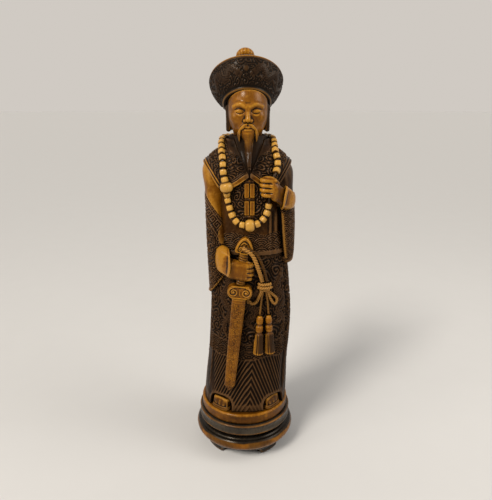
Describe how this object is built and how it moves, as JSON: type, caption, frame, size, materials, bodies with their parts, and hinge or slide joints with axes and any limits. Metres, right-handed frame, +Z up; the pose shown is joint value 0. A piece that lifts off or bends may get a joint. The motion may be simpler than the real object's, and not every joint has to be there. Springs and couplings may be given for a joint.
{
  "type": "wooden figurine",
  "caption": "Standing carved wooden figurine of a robed court official with hat, beads, sheathed sword and tassels, on a round turned stand with bracket feet; a free-standing ornament",
  "frame": {"origin": "the middle of the stand, on the plane that its four feet stand on", "axes": "+Z up through the figure, -Y the way the figure faces, +X towards the figure's left hand"},
  "size_m": [0.077, 0.077, 0.3005],
  "materials": {
    "carved_dark": "dark-stained carved wood with worn golden-brown ridges under a gloss lacquer",
    "carved_gold": "golden-brown carved wood with dark-stained hollows under a gloss lacquer",
    "stand_black": "near-black stained turned wood, worn brown on the rounded moulding, gloss lacquer",
    "peg_wood": "bare plain wood",
    "screw_steel": "plain steel"
  },
  "bodies": {
    "root": {"gown": "carved_dark", "surcoat": "carved_dark", "right_sleeve": "carved_dark", "left_sleeve": "carved_dark", "collar": "carved_dark", "cape": "carved_dark", "hat_brim": "carved_dark", "hat_crown": "carved_dark", "sword_grip": "carved_dark", "foot_plate": "carved_gold", "right_boot": "carved_gold", "left_boot": "carved_gold", "placket": "carved_gold", "right_cuff": "carved_gold", "left_cuff": "carved_gold", "right_hand": "carved_gold", "left_hand": "carved_gold", "head": "carved_gold", "hat_knob": "carved_gold", "court_beads": "carved_gold", "sword_pommel": "carved_gold", "sword_guard": "carved_gold", "scabbard": "carved_gold", "sword_cord": "carved_gold", "cord_knot": "carved_gold", "cord_bow": "carved_gold", "tassel_right": "carved_gold", "tassel_left": "carved_gold", "stand_moulding": "stand_black", "stand_ring": "stand_black", "stand_foot_front_right": "stand_black", "stand_foot_front_left": "stand_black", "stand_foot_rear_left": "stand_black", "stand_foot_rear_right": "stand_black", "waist_peg": "peg_wood", "neck_peg": "peg_wood", "hat_peg": "peg_wood", "knob_peg": "peg_wood", "stand_screw": "screw_steel"}
  },
  "joints": []
}
